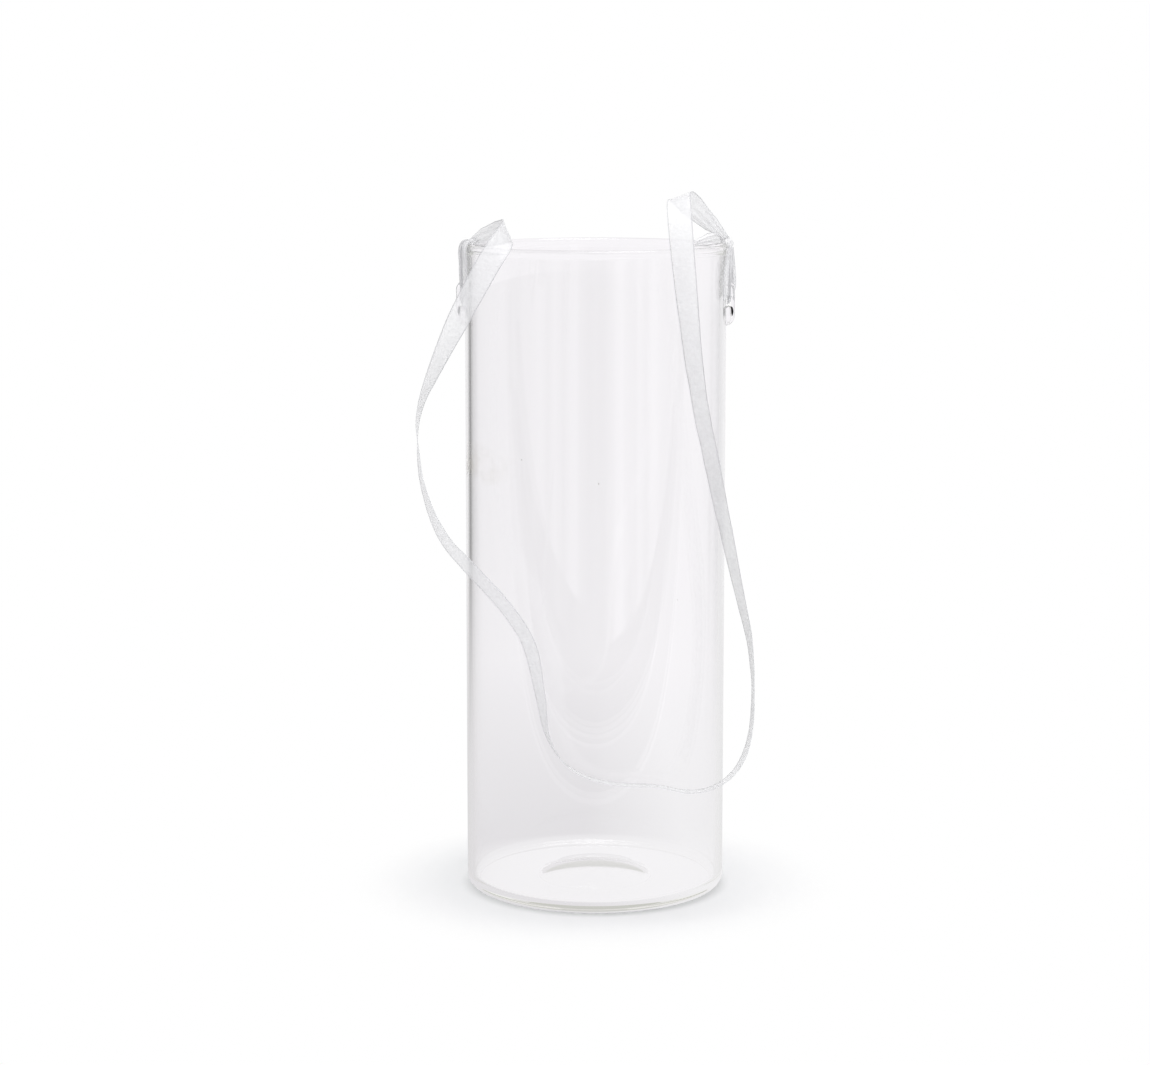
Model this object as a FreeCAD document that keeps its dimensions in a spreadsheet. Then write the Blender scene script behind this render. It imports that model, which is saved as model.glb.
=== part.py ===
# A clear glass cylinder vase that hangs by a ribbon: blown body, two fused ears and a knotted sheer ribbon.
# Millimetres. +Z is up, the origin is the centre of the base on the table, and the ears lie along X.

import FreeCAD, Part
import math
import os
import Sketcher
from FreeCAD import Placement, Rotation, Vector

doc = FreeCAD.newDocument("HangingVase")

# The driving dimensions, with what each one is
SIZES = [
    ("vase_radius", 50.0, "outside of the wall"),
    ("vase_height", 250.0, "table to the top of the lip"),
    ("wall", 2.3, "thickness of the cylinder's wall"),
    ("floor_thickness", 3.0, "glass under the water"),
    ("heel_radius", 4.5, "outside corner between wall and base"),
    ("inner_heel_radius", 3.5, "inside corner between wall and floor"),
    ("bead_radius", 1.4, "fire-polished lip, a round bead"),
    ("bead_blend", 1.2, "fillet where the bead runs into the wall"),
    ("punt_radius", 21.7, "pushed-up ring under the base"),
    ("punt_rise", 3.2, "how far the base is pushed up"),
    ("dome_radius", 24.5, "the same push seen on the floor inside"),
    ("dome_rise", 2.6, "height of the dome above the floor"),
    ("punt_blend", 4.0, "soft turn where punt and dome meet the flat"),
    ("ear_rod", 1.5, "diameter of the glass rod of an ear"),
    ("ear_reach", 3.3, "wall to the outermost point of an ear"),
    ("ear_drop", 14.0, "top of the lip to the top of an ear"),
    ("ear_length", 17.0, "height of an ear over its rod"),
    ("ear_root", 1.5, "how far the rod is run into the wall before the trim"),
    ("head_blob", 1.6, "radius of the melted blob at the upper foot"),
    ("web_height", 5.7, "melted glass that fills the lower eye, up to its round top"),
    ("web_width", 2.6, "the same along Y"),
    ("web_out", 1.1, "its middle from the wall"),
    ("ribbon_width", 9.0, "sheer ribbon laid flat"),
    ("ribbon_thickness", 0.3, "one layer of ribbon"),
    ("gathered_width", 2.6, "ribbon drawn together to pass an ear"),
    ("gathered_thickness", 0.8, "the same, the other way"),
    ("cloth_gap", 0.4, "cloth to glass"),
    ("knot_depth", 5.0, "a knot along X"),
    ("knot_width", 6.4, "a knot along Y"),
    ("knot_height", 6.2, "a knot along Z, centred level with the lip"),
    ("right_knot_out", 50.0, "right knot's centre from the axis along X"),
    ("right_knot_forward", 2.0, "the same towards the front"),
    ("left_knot_out", 46.2, "left knot's centre from the axis along X"),
    ("left_knot_forward", 8.5, "the same towards the front"),
]

# Routes of the narrow ends, in millimetres from the wall, degrees forward of the ear and
# millimetres above the lip, with the direction of the width and the share of the full width
RIGHT_LOOP = [
    ((1.6, 3.3, -1.6), (0.0, 1.0, 0.0)),
    ((1.7, 7.1, -9.5), (0.2, 1.0, 0.0)),
    ((0.9, 2.5, -21.8), (0.0, 0.5, 1.0)),
    ((0.9, -2.5, -21.8), (0.0, -0.5, 1.0)),
    ((3.0, -3.5, -18.0), (0.4, -0.9, 0.3)),
    ((2.7, -3.7, -10.0), (0.5, -0.9, 0.0)),
    ((1.8, 0.5, -1.9), (0.3, -1.0, 0.0)),
]
LEFT_LOOP = [
    ((-2.4, 9.2, 1.3), (0.5, 0.9, 0.0)),
    ((1.5, 5.5, 1.0), (0.5, 0.9, 0.0)),
    ((1.7, 4.9, -10.0), (-0.2, 1.0, 0.0)),
    ((0.9, 2.5, -21.8), (0.0, 0.5, 1.0)),
    ((0.9, -2.5, -21.8), (0.0, -0.5, 1.0)),
    ((1.7, -4.3, -10.0), (-0.2, -1.0, 0.0)),
    ((1.7, -1.0, 1.4), (-0.9, -0.5, 0.0)),
    ((-1.6, 6.0, 1.5), (-0.9, -0.5, 0.0)),
]
RIGHT_TAIL = [((1.0, 4.4, -1.2), 0.28), ((0.9, 11.5, -7.0), 0.8), ((0.9, 15.6, -12.5), 1.0), ((0.9, 13.6, -19.7), 0.9)]
LEFT_TAIL = [
    ((-1.7, 11.5, 1.4), 0.25),
    ((1.4, 13.2, 1.0), 0.6),
    ((0.95, 14.5, -9.0), 1.0),
    ((0.9, 14.5, -17.0), 1.0),
    ((0.9, 14.0, -24.5), 1.0),
]
LIP_TAIL = [((-1.8, 3.8, 1.1), 0.15), ((-2.5, 14.0, 2.9), 0.52), ((-2.5, 25.0, 2.9), 0.52), ((-2.5, 39.0, 1.6), 0.24)]

# The hanging stretch of the ribbon from the left knot to the right one:
# place, direction in which its width lies, and share of the full width
RIBBON_ROUTE = [
    ((-46.4, -8.6, 251.4), (-0.20, 0.00, 1.00), 0.27),
    ((-42.4, -13.4, 252.9), (-0.20, 0.00, 1.00), 0.62),
    ((-36.0, -20.3, 255.2), (-0.30, 0.00, 1.00), 0.92),
    ((-32.2, -29.6, 256.6), (-0.40, 0.00, 1.00), 1.0),
    ((-32.8, -39.0, 255.0), (-0.55, -0.10, 0.90), 1.0),
    ((-37.3, -44.6, 248.4), (-0.80, -0.05, 0.60), 1.0),
    ((-43.3, -39.4, 238.0), (-0.84, -0.20, 0.50), 1.0),
    ((-50.8, -32.0, 224.0), (-0.74, -0.45, 0.45), 1.0),
    ((-59.0, -26.5, 207.0), (-0.50, -0.80, 0.28), 1.0),
    ((-67.2, -24.5, 188.5), (-0.17, -0.98, 0.05), 1.0),
    ((-67.0, -25.5, 172.0), (0.16, -0.99, 0.00), 1.0),
    ((-64.5, -28.8, 157.5), (0.28, -0.96, 0.08), 1.0),
    ((-57.5, -36.0, 141.5), (0.40, -0.87, 0.30), 1.0),
    ((-44.5, -46.0, 129.8), (0.41, -0.80, 0.44), 1.0),
    ((-31.5, -53.0, 117.2), (0.45, -0.78, 0.44), 1.0),
    ((-23.3, -56.0, 104.0), (0.55, -0.78, 0.25), 1.0),
    ((-20.2, -56.5, 85.0), (0.42, -0.90, 0.06), 1.0),
    ((-17.8, -56.6, 69.5), (0.20, -0.98, 0.12), 1.0),
    ((-10.8, -56.4, 58.6), (0.06, -1.00, 0.18), 1.0),
    ((0.5, -56.0, 53.4), (0.00, -1.00, 0.21), 1.0),
    ((12.5, -55.8, 51.6), (0.00, -1.00, 0.21), 1.0),
    ((24.5, -54.5, 51.4), (0.00, -1.00, 0.21), 1.0),
    ((36.0, -50.2, 47.4), (0.00, -1.00, 0.20), 1.0),
    ((48.0, -42.0, 48.8), (0.00, -1.00, 0.10), 1.0),
    ((56.3, -34.5, 56.0), (0.05, -1.00, 0.05), 1.0),
    ((60.0, -28.0, 69.0), (0.06, -1.00, 0.00), 1.0),
    ((60.3, -24.0, 85.0), (0.06, -1.00, 0.00), 1.0),
    ((59.2, -23.2, 99.5), (0.10, -1.00, 0.00), 1.0),
    ((55.0, -26.0, 117.5), (0.22, -0.97, 0.06), 1.0),
    ((49.5, -32.5, 142.0), (0.35, -0.93, 0.10), 1.0),
    ((44.0, -38.0, 168.0), (0.46, -0.88, 0.10), 1.0),
    ((37.5, -42.0, 198.0), (0.63, -0.77, 0.12), 1.0),
    ((33.8, -44.0, 230.0), (0.83, -0.50, 0.08), 1.0),
    ((31.9, -44.2, 248.0), (0.93, -0.30, 0.10), 1.0),
    ((30.8, -43.3, 261.0), (0.95, -0.05, 0.22), 1.0),
    ((30.4, -37.6, 268.2), (0.94, 0.00, 0.33), 1.0),
    ((31.2, -28.3, 269.8), (0.94, 0.00, 0.33), 1.0),
    ((35.5, -21.0, 265.6), (0.80, 0.00, 0.55), 1.0),
    ((42.7, -12.4, 258.6), (0.70, 0.00, 0.66), 0.68),
    ((49.9, -3.0, 252.2), (0.95, 0.00, 0.25), 0.22),
]

ARC_SHARE = 0.45
DEGREES_PER_SECTION = 12.0


def make_sheet():
    sheet = doc.addObject("Spreadsheet::Sheet", "Sizes")
    for row, (name, value, note) in enumerate(SIZES, start=1):
        sheet.set(f"A{row}", name)
        sheet.set(f"B{row}", str(value))
        sheet.set(f"C{row}", note)
        sheet.setAlias(f"B{row}", name)
    doc.recompute()
    return sheet


sheet = make_sheet()


def size(name):
    return float(getattr(sheet, name))


def bind(thing, **bindings):
    for prop, expression in bindings.items():
        path = prop.replace("__", ".")
        for name, _, _ in SIZES:
            expression = expression.replace(f"[{name}]", f"Sizes.{name}")
        thing.setExpression(path, expression)


def plane(body, role):
    return [item for item in body.Origin.OriginFeatures if item.Role == role][0]


def new_body(name):
    body = doc.addObject("PartDesign::Body", name)
    body.Label = name
    return body


def new_sketch(body, name, role):
    sketch = body.newObject("Sketcher::SketchObject", name)
    sketch.AttachmentSupport = [(plane(body, role), "")]
    sketch.MapMode = "FlatFace"
    return sketch


def bind_datum(sketch, name, constraint, expression):
    index = sketch.addConstraint(constraint)
    sketch.renameConstraint(index, name)
    for alias, _, _ in SIZES:
        expression = expression.replace(f"[{alias}]", f"Sizes.{alias}")
    sketch.setExpression(f"Constraints.{name}", expression)


def round_edges(shape, radius, height):
    """Names of the circular edges of that radius at that height."""
    close = size("cloth_gap") / 4
    names = []
    for index, edge in enumerate(shape.Edges, start=1):
        if edge.Degenerated or edge.Curve.TypeId != "Part::GeomCircle":
            continue
        curve = edge.Curve
        if abs(curve.Radius - radius) < close and abs(curve.Center.z - height) < close:
            names.append(f"Edge{index}")
    return names


def add_fillet(body, base, name, places, expression):
    doc.recompute()
    edges = []
    for radius, height in places:
        edges += round_edges(base.Shape, radius, height)
    fillet = body.newObject("PartDesign::Fillet", name)
    fillet.Base = (base, edges)
    bind(fillet, Radius=expression)
    return fillet


def glass_section(body):
    """Half the vase's section: punt, resting ring, wall, floor and dome."""
    radius, height = size("vase_radius"), size("vase_height") - size("bead_radius")
    inside = radius - size("wall")
    floor = size("floor_thickness")
    punt, rise = size("punt_radius"), size("punt_rise")
    dome, dome_rise = size("dome_radius"), size("dome_rise")
    sketch = new_sketch(body, "wall_section", "XZ_Plane")

    def cap(edge_radius, cap_rise, base):
        ball = (edge_radius ** 2 + cap_rise ** 2) / (2 * cap_rise)
        centre = Vector(0, base + cap_rise - ball, 0)
        lean = math.asin(edge_radius / ball)
        circle = Part.Circle(centre, Vector(0, 0, 1), ball)
        return Part.ArcOfCircle(circle, math.pi / 2 - lean, math.pi / 2)

    corners = [
        Vector(punt, 0, 0),
        Vector(radius, 0, 0),
        Vector(radius, height, 0),
        Vector(inside, height, 0),
        Vector(inside, floor, 0),
        Vector(dome, floor, 0),
    ]
    under = sketch.addGeometry(cap(punt, rise, 0), False)
    lines = [
        sketch.addGeometry(Part.LineSegment(start, end), False)
        for start, end in zip(corners, corners[1:])
    ]
    over = sketch.addGeometry(cap(dome, dome_rise, floor), False)
    axis_line = Part.LineSegment(Vector(0, floor + dome_rise, 0), Vector(0, rise, 0))
    axis = sketch.addGeometry(axis_line, False)
    rest, outer, top, inner, bottom = lines

    joined = [
        (under, 1, rest, 1),
        (rest, 2, outer, 1),
        (outer, 2, top, 1),
        (top, 2, inner, 1),
        (inner, 2, bottom, 1),
        (bottom, 2, over, 1),
        (over, 2, axis, 1),
        (axis, 2, under, 2),
    ]
    for first, first_end, second, second_end in joined:
        sketch.addConstraint(Sketcher.Constraint("Coincident", first, first_end, second, second_end))
    for line in (top, bottom):
        sketch.addConstraint(Sketcher.Constraint("Horizontal", line))
    for line in (outer, inner, axis):
        sketch.addConstraint(Sketcher.Constraint("Vertical", line))
    for geometry, end, datum_axis in ((rest, 1, -1), (rest, 2, -1), (axis, 1, -2), (under, 3, -2), (over, 3, -2)):
        sketch.addConstraint(Sketcher.Constraint("PointOnObject", geometry, end, datum_axis))

    datums = [
        ("outside", Sketcher.Constraint("DistanceX", -1, 1, rest, 2, radius), "[vase_radius]"),
        ("inside", Sketcher.Constraint("DistanceX", -1, 1, inner, 1, inside), "[vase_radius] - [wall]"),
        ("top", Sketcher.Constraint("DistanceY", -1, 1, outer, 2, height), "[vase_height] - [bead_radius]"),
        ("floor", Sketcher.Constraint("DistanceY", -1, 1, inner, 2, floor), "[floor_thickness]"),
        ("punt", Sketcher.Constraint("DistanceX", -1, 1, rest, 1, punt), "[punt_radius]"),
        ("punt_rise", Sketcher.Constraint("DistanceY", -1, 1, under, 2, rise), "[punt_rise]"),
        ("dome", Sketcher.Constraint("DistanceX", -1, 1, bottom, 2, dome), "[dome_radius]"),
        (
            "dome_rise",
            Sketcher.Constraint("DistanceY", -1, 1, over, 2, floor + dome_rise),
            "[floor_thickness] + [dome_rise]",
        ),
    ]
    for name, constraint, expression in datums:
        bind_datum(sketch, name, constraint, expression)
    return sketch


def make_glass_body():
    """The blown cylinder: a turned section, a round bead on the lip, and every corner melted soft."""
    body = new_body("glass_body")
    section = glass_section(body)
    turned = body.newObject("PartDesign::Revolution", "turned_wall")
    turned.Profile = section
    turned.ReferenceAxis = (section, ["V_Axis"])
    turned.Angle = 360.0
    doc.recompute()

    radius, wall = size("vase_radius"), size("wall")
    floor, bead = size("floor_thickness"), size("bead_radius")
    middle = radius - wall / 2
    bead_height = size("vase_height") - bead

    heel = add_fillet(body, turned, "heel", [(radius, 0)], "[heel_radius]")
    inner_heel = add_fillet(body, heel, "inner_heel", [(radius - wall, floor)], "[inner_heel_radius]")
    soft_places = [(size("punt_radius"), 0), (size("dome_radius"), floor)]
    soft = add_fillet(body, inner_heel, "punt_edges", soft_places, "[punt_blend]")
    doc.recompute()

    lip = body.newObject("PartDesign::AdditiveTorus", "lip_bead")
    lip.AttachmentSupport = [(plane(body, "XY_Plane"), "")]
    lip.MapMode = "FlatFace"
    bind(
        lip,
        Radius1="[vase_radius] - [wall] / 2",
        Radius2="[bead_radius]",
        AttachmentOffset__Base__z="[vase_height] - [bead_radius]",
    )
    doc.recompute()
    meeting = bead_height - math.sqrt(bead ** 2 - (wall / 2) ** 2)
    blend_places = [(middle + wall / 2, meeting), (middle - wall / 2, meeting)]
    blend = add_fillet(body, lip, "lip_blend", blend_places, "[bead_blend]")
    doc.recompute()
    body.Tip = blend
    return body


def ear_path(body):
    """The bent rod's centre line, a D with its back to the wall."""
    sketch = new_sketch(body, "rod_path", "XZ_Plane")
    wall_line = size("vase_radius")
    root = wall_line - size("ear_root")
    bend = size("ear_reach") - size("ear_rod") / 2
    high = size("vase_height") - size("ear_drop") - size("ear_rod") / 2
    low = high - size("ear_length") + size("ear_rod")
    face = Vector(0, 0, 1)
    low_turn = Part.Circle(Vector(wall_line, low + bend, 0), face, bend)
    high_turn = Part.Circle(Vector(wall_line, high - bend, 0), face, bend)
    foot = sketch.addGeometry(Part.LineSegment(Vector(root, low, 0), Vector(wall_line, low, 0)), False)
    lower = sketch.addGeometry(Part.ArcOfCircle(low_turn, -math.pi / 2, 0), False)
    back_start = Vector(wall_line + bend, low + bend, 0)
    back_end = Vector(wall_line + bend, high - bend, 0)
    back = sketch.addGeometry(Part.LineSegment(back_start, back_end), False)
    upper = sketch.addGeometry(Part.ArcOfCircle(high_turn, 0, math.pi / 2), False)
    head = sketch.addGeometry(Part.LineSegment(Vector(wall_line, high, 0), Vector(root, high, 0)), False)
    for first, first_end, second, second_end in (
        (foot, 2, lower, 1),
        (lower, 2, back, 1),
        (back, 2, upper, 1),
        (upper, 2, head, 1),
    ):
        sketch.addConstraint(Sketcher.Constraint("Tangent", first, first_end, second, second_end))
    sketch.addConstraint(Sketcher.Constraint("Horizontal", foot))
    sketch.addConstraint(Sketcher.Constraint("Horizontal", head))
    sketch.addConstraint(Sketcher.Constraint("Equal", lower, upper))
    high_words = "[vase_height] - [ear_drop] - [ear_rod] / 2"
    datums = [
        ("root", Sketcher.Constraint("DistanceX", -1, 1, foot, 1, root), "[vase_radius] - [ear_root]"),
        ("head_root", Sketcher.Constraint("DistanceX", -1, 1, head, 2, root), "[vase_radius] - [ear_root]"),
        ("wall_line", Sketcher.Constraint("DistanceX", -1, 1, foot, 2, wall_line), "[vase_radius]"),
        ("bend", Sketcher.Constraint("Radius", lower, bend), "[ear_reach] - [ear_rod] / 2"),
        ("high", Sketcher.Constraint("DistanceY", -1, 1, head, 2, high), high_words),
        (
            "low",
            Sketcher.Constraint("DistanceY", -1, 1, foot, 1, low),
            high_words + " - [ear_length] + [ear_rod]",
        ),
    ]
    for name, constraint, expression in datums:
        bind_datum(sketch, name, constraint, expression)
    return sketch, low


def make_ear(name, turn):
    """A bent glass rod melted on to the wall at both feet, with the lower part of its eye filled."""
    body = new_body(name)
    body.Placement = Placement(Vector(), Rotation(Vector(0, 0, 1), turn))
    path, low = ear_path(body)
    ring = new_sketch(body, "rod_section", "YZ_Plane")
    bind(ring, AttachmentOffset__Base__z="[vase_radius] - [ear_root]")
    rod = ring.addGeometry(Part.Circle(Vector(0, low, 0), Vector(0, 0, 1), size("ear_rod") / 2), False)
    ring.addConstraint(Sketcher.Constraint("PointOnObject", rod, 3, -2))
    bind_datum(
        ring,
        "low",
        Sketcher.Constraint("DistanceY", -1, 1, rod, 3, low),
        "[vase_height] - [ear_drop] - [ear_length] + [ear_rod] / 2",
    )
    bind_datum(ring, "rod", Sketcher.Constraint("Diameter", rod, size("ear_rod")), "[ear_rod]")
    doc.recompute()
    bent = body.newObject("PartDesign::AdditivePipe", "bent_rod")
    bent.Profile = ring
    bent.Spine = (path, [f"Edge{index}" for index in range(1, len(path.Shape.Edges) + 1)])
    doc.recompute()
    foot_out = "[vase_radius] + [web_out]"
    foot_up = "[vase_height] - [ear_drop] - [ear_length] + [ear_rod] / 5"
    web = body.newObject("PartDesign::AdditiveCylinder", "low_foot")
    bind(
        web,
        Radius="[web_width] / 2",
        Height="[web_height]",
        Placement__Base__x=foot_out,
        Placement__Base__z=foot_up,
    )
    doc.recompute()
    blobs = {
        "low_foot_top": ("[web_width] / 2", foot_out, foot_up + " + [web_height]"),
        "high_foot": ("[head_blob]", "[vase_radius]", "[vase_height] - [ear_drop] - [ear_rod] / 2"),
    }
    for name, (radius, out, up) in blobs.items():
        blob = body.newObject("PartDesign::AdditiveSphere", name)
        bind(blob, Radius=radius, Placement__Base__x=out, Placement__Base__z=up)
        doc.recompute()
    trim = body.newObject("PartDesign::SubtractiveCylinder", "wall_trim")
    trim.Placement = Placement(Vector(), Rotation(Vector(0, 0, 1), 90))
    bind(trim, Radius="[vase_radius]", Height="[vase_height]")
    doc.recompute()
    return body


def mixed(first, second, share):
    return first * (1 - share) + second * share


def ribbon_solid(name, places, lies, widths, thickness):
    """A flat band through the places: straight runs, joined by tangent arcs, and a section where each begins."""
    radii = []
    edges = []
    stations = [(0.0, places[0], (places[1] - places[0]).normalize())]
    last = places[0]
    for index in range(1, len(places) - 1):
        before = places[index] - places[index - 1]
        after = places[index + 1] - places[index]
        turn = before.getAngle(after)
        reach = ARC_SHARE * min(before.Length, after.Length)
        radius = reach / math.tan(turn / 2)
        radii.append(radius)
        start = places[index] - Vector(before).normalize() * reach
        end = places[index] + Vector(after).normalize() * reach
        inward = (start + end) * 0.5 - places[index]
        to_middle = radius / math.cos(turn / 2) - radius
        middle = places[index] + inward.normalize() * to_middle
        edges.append(Part.LineSegment(last, start).toShape())
        arc = Part.Arc(start, middle, end).toShape()
        edges.append(arc)
        last = end
        steps = max(2, math.ceil(math.degrees(turn) / DEGREES_PER_SECTION))
        low, high = arc.ParameterRange
        for step in range(steps + 1):
            share = step / steps
            at = low + (high - low) * share
            tangent = arc.tangentAt(at)
            if tangent.dot(before) + tangent.dot(after) < 0:
                tangent = tangent * -1
            stations.append((index - 0.5 + share, arc.valueAt(at), tangent))
    edges.append(Part.LineSegment(last, places[-1]).toShape())
    stations.append((len(places) - 1.0, places[-1], (places[-1] - places[-2]).normalize()))

    sections = []
    area_length = 0.0
    for at, centre, tangent in stations:
        index = min(int(at), len(places) - 2)
        share = at - index
        lie = mixed(Vector(lies[index]).normalize(), Vector(lies[index + 1]).normalize(), share)
        lie = (lie - tangent * lie.dot(tangent)).normalize()
        half_width = lie * (widths[index] * (1 - share) + widths[index + 1] * share) * 0.5
        half_thick = tangent.cross(lie) * thickness * 0.5
        ring = [
            centre + half_width + half_thick,
            centre - half_width + half_thick,
            centre - half_width - half_thick,
            centre + half_width - half_thick,
        ]
        sections.append((centre, half_width.Length * 2, Part.makePolygon(ring + ring[:1])))
    for first, second in zip(sections, sections[1:]):
        area_length += (first[1] + second[1]) / 2 * thickness * (second[0] - first[0]).Length
    solid = Part.makeLoft([section[2] for section in sections], True, True)
    length = Part.Wire(edges).Length
    print(
        f"{name}: length {length:.1f}, volume {solid.Volume:.1f} against section times length {area_length:.1f},"
        f" tightest {min(radii):.1f}, radii " + " ".join(f"{radius:.0f}" for radius in radii)
    )
    return solid


def add_cloth(name, shape):
    feature = doc.addObject("Part::Feature", name)
    feature.Label = name
    feature.Shape = shape
    return feature


def make_knot(name, side, out, forward):
    """A knot sits on the lip beside its ear, hollowed where the lip presses into it."""
    lump = doc.addObject("Part::Ellipsoid", name + "_lump")
    bind(
        lump,
        Radius1="[knot_height] / 2",
        Radius2="[knot_depth] / 2",
        Radius3="[knot_width] / 2",
        Placement__Base__x=f"{side} * [{out}]",
        Placement__Base__y=f"-[{forward}]",
        Placement__Base__z="[vase_height]",
    )
    press = doc.addObject("Part::Cylinder", name + "_press")
    bind(
        press,
        Radius="[vase_radius] - [wall] / 2 + [bead_radius] + [cloth_gap]",
        Height="[vase_height] + [cloth_gap]",
    )
    knot = doc.addObject("Part::Cut", name)
    knot.Label = name
    knot.Base = lump
    knot.Tool = press
    doc.recompute()
    return knot


def on_wall(side, out, degrees, up):
    """A place beside the lip: millimetres out from the wall, degrees forward of the ear, millimetres up."""
    radius = size("vase_radius") + out
    angle = math.radians(degrees)
    return Vector(side * radius * math.cos(angle), -radius * math.sin(angle), size("vase_height") + up)


def make_ear_loop(name, side, route, knot):
    """The gathered ribbon from its knot down one side of the ear, through the eye and up the other side."""
    places = [on_wall(side, *place) for place, _ in route]
    lies = [lie for _, lie in route]
    widths = [size("gathered_width")] * len(route)
    band = ribbon_solid(name, places, lies, widths, size("gathered_thickness"))
    return add_cloth(name, band.cut(knot.Shape))


def make_tail(name, side, route, knot):
    """A knot's cut end, which lies flat round the wall in front of the ear."""
    places = [on_wall(side, *place) for place, _ in route]
    lies = [(-side * math.sin(math.radians(place[1])), -math.cos(math.radians(place[1])), 0) for place, _ in route]
    widths = [share * size("ribbon_width") for _, share in route]
    band = ribbon_solid(name, places, lies, widths, size("ribbon_thickness"))
    return add_cloth(name, band.cut(knot.Shape))


def make_lip_tail(knot):
    """The right knot's other end, which stands along the lip and goes behind the folded ribbon."""
    places = [on_wall(1, *place) for place, _ in LIP_TAIL]
    lies = [(0, 0, 1) for _ in LIP_TAIL]
    widths = [share * size("ribbon_width") for _, share in LIP_TAIL]
    band = ribbon_solid("right_lip_tail", places, lies, widths, size("ribbon_thickness"))
    return add_cloth("right_lip_tail", band.cut(knot.Shape))


def make_hanging_ribbon(left_knot, right_knot):
    """The slack stretch that hangs before the glass, folded over once beside each knot."""
    places = [Vector(*place) for place, _, _ in RIBBON_ROUTE]
    lies = [lie for _, lie, _ in RIBBON_ROUTE]
    widths = [share * size("ribbon_width") for _, _, share in RIBBON_ROUTE]
    band = ribbon_solid("hanging_ribbon", places, lies, widths, size("ribbon_thickness"))
    return add_cloth("hanging_ribbon", band.cut(left_knot.Shape).cut(right_knot.Shape))


glass_body = make_glass_body()
right_ear = make_ear("right_ear", 0)
left_ear = make_ear("left_ear", 180)
left_knot = make_knot("left_knot", -1, "left_knot_out", "left_knot_forward")
right_knot = make_knot("right_knot", 1, "right_knot_out", "right_knot_forward")
left_loop = make_ear_loop("left_ear_loop", -1, LEFT_LOOP, left_knot)
right_loop = make_ear_loop("right_ear_loop", 1, RIGHT_LOOP, right_knot)
left_tail = make_tail("left_tail", -1, LEFT_TAIL, left_knot)
right_tail = make_tail("right_tail", 1, RIGHT_TAIL, right_knot)
lip_tail = make_lip_tail(right_knot)
ribbon = make_hanging_ribbon(left_knot, right_knot)
doc.recompute()

glass = [glass_body, right_ear, left_ear]
cloth = [left_knot, right_knot, left_loop, right_loop, left_tail, right_tail, lip_tail, ribbon]
pieces = glass + cloth

for item in doc.Objects:
    if "Invalid" in item.State or "Error" in item.State:
        raise SystemExit(f"{item.Label} is {item.State}")
for piece in pieces:
    if piece.Shape.isNull() or not piece.Shape.isValid() or not piece.Shape.Solids:
        raise SystemExit(f"{piece.Label} has no valid solid")

os.makedirs("parts", exist_ok=True)
for piece in pieces:
    shape = piece.Shape
    print(f"{piece.Label}: {len(shape.Solids)} solid, {shape.Volume:.1f} mm3, {len(shape.Faces)} faces")
    shape.exportStep(f"parts/{piece.Label}.step")
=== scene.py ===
import math

import bmesh
import bpy
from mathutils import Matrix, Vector, noise


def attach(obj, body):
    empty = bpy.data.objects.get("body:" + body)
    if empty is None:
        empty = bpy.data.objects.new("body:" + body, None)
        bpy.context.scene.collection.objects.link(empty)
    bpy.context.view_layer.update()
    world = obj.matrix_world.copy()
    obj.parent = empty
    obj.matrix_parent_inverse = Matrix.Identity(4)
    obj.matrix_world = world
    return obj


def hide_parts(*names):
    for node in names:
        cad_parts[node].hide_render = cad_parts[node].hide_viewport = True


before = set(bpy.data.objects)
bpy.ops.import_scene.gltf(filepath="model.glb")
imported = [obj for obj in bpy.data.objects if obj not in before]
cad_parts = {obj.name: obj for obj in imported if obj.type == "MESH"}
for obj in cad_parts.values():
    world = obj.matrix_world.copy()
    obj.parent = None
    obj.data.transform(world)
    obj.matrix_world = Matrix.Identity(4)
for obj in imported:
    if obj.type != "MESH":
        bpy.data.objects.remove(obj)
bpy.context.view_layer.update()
scene = bpy.context.scene
mm = 0.001


# camera as the photograph was taken: a long lens, a little above the lip

camera = {
    "place": (0, -1.1161, 0.3073),
    "tilt": 81.407,
    "turn": 0.403,
    "lens": 91.3,
    "sensor": 36,
    "clip": 0.01,
}

bpy.ops.object.camera_add(
    location=camera["place"],
    rotation=(math.radians(camera["tilt"]), 0, math.radians(camera["turn"])),
)
photoCamera = bpy.context.object
photoCamera.name = "photoCamera"
photoCamera.data.lens = camera["lens"]
photoCamera.data.sensor_width = camera["sensor"]
photoCamera.data.clip_start = camera["clip"]
scene.camera = photoCamera
print("camera set")


# ribbon: every stretch is a band laid along the middle line of its own NURBS route. Sizes are in mm,
# and waves and wanders are noise steps to the metre

ribbon = {
    "width": 9,
    "cloth": 0.22,
    "columns": 26,
    "pleats": 3,
    "gathered": 0.28,
    "edgeWave": 0.12,
    "waves": 90,
    "pleatWander": 2.5,
    "wanders": 60,
}

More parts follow.
